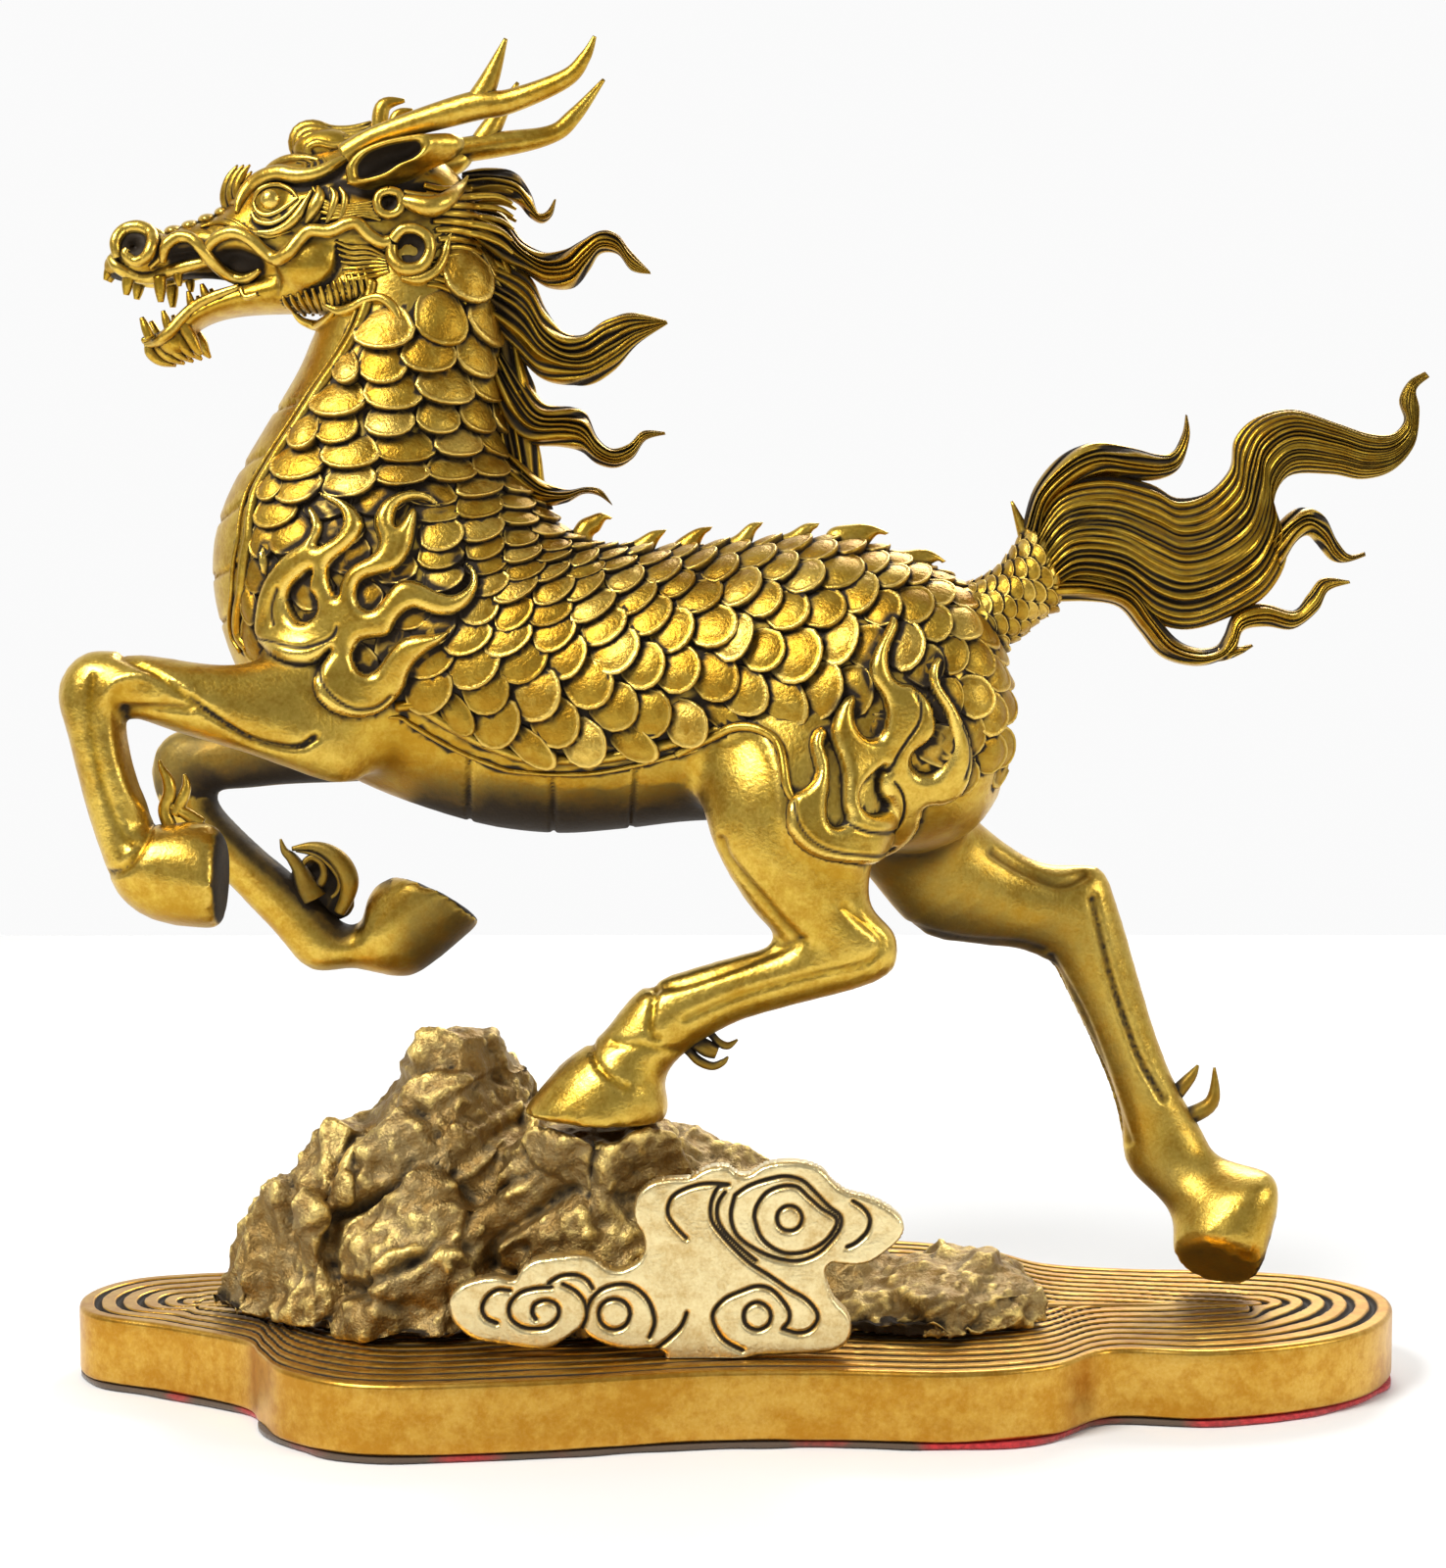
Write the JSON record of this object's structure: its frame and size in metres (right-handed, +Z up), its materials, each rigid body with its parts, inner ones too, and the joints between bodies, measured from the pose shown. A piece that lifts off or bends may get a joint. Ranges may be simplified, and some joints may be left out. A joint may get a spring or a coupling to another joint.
{
  "type": "dragon horse statue",
  "caption": "Brass statue of a scaled horse with a horned dragon's head, running over a rock with a cloud scroll on a lobed, rippled base plate.",
  "frame": {"origin": "middle of the felt's underside, on the surface the statue stands on", "axes": "+Z up, the head looks along -X, +Y points away from the side seen in the picture"},
  "size_m": [0.2765, 0.118, 0.2707],
  "materials": {
    "figure_brass": "antique gold brass, polished on the high spots and dark in the carving",
    "rock_brass": "cast grey-brown brass with rubbed gold edges",
    "cloud_brass": "pale polished brass",
    "plate_brass": "satin amber brass, with dark grooves in its top",
    "red_felt": "red felt"
  },
  "bodies": {
    "root": {"dragon_horse": "figure_brass", "rock_mound": "rock_brass", "cloud_plaque": "cloud_brass", "base_plate": "plate_brass", "felt_pad": "red_felt"}
  },
  "joints": []
}
